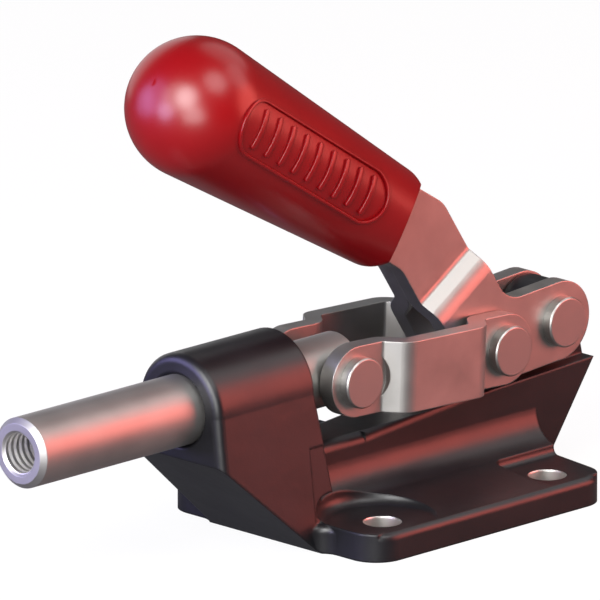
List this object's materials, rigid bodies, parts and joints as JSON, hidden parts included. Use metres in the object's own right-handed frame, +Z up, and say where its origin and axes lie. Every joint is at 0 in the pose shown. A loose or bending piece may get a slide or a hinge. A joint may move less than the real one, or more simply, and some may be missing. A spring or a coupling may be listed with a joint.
{
  "type": "push-pull toggle clamp",
  "caption": "Forged flanged push-pull toggle clamp: a lever with a red ball-ended grip drives a sliding rod through two links past dead centre.",
  "frame": {"origin": "centre of the four bolt holes, on the mounting face", "axes": "+Z up, out of the mounting face; the rod's nose points along -X and the near side of the picture is -Y"},
  "size_m": [0.2063, 0.0794, 0.1419],
  "materials": {
    "black_forging": "satin black oxide on a steel forging",
    "bronze_bush": "plain sintered bronze",
    "rod_steel": "ground and zinc plated",
    "pin_steel": "turned and riveted, zinc plated",
    "plate_steel": "stamped plate, zinc plated",
    "red_grip": "glossy moulded vinyl"
  },
  "bodies": {
    "base": {"base": "black_forging", "pivot_bush": "bronze_bush"},
    "handle": {"near_handle_plate": "plate_steel", "far_handle_plate": "plate_steel", "rear_pin": "pin_steel", "handle_rivets": "pin_steel", "grip": "red_grip"},
    "links": {"near_link": "plate_steel", "far_link": "plate_steel", "middle_pin": "pin_steel", "front_pin_heads": "pin_steel"},
    "plunger": {"rod": "rod_steel", "front_pin": "pin_steel"}
  },
  "joints": [
    {"name": "handle_pivot", "type": "hinge", "parent": "base", "child": "handle", "pos_m": [0.05645, 0, 0.0412], "axis": [0, 1, 0], "range_deg": [0, 155]},
    {"name": "link_pivot", "type": "hinge", "parent": "handle", "child": "links", "pos_m": [0.03075, 0, 0.0394], "axis": [0, 1, 0], "range_deg": [-170, 0]},
    {"name": "rod_slide", "type": "slide", "parent": "base", "child": "plunger", "axis": [1, 0, 0], "range_m": [0, 0.0495]}
  ],
  "couplings": [
    {"joint": "link_pivot", "follows": "handle_pivot", "ratio": -1.0949},
    {"joint": "rod_slide", "follows": "handle_pivot", "m_per_rad": 0.018271}
  ]
}
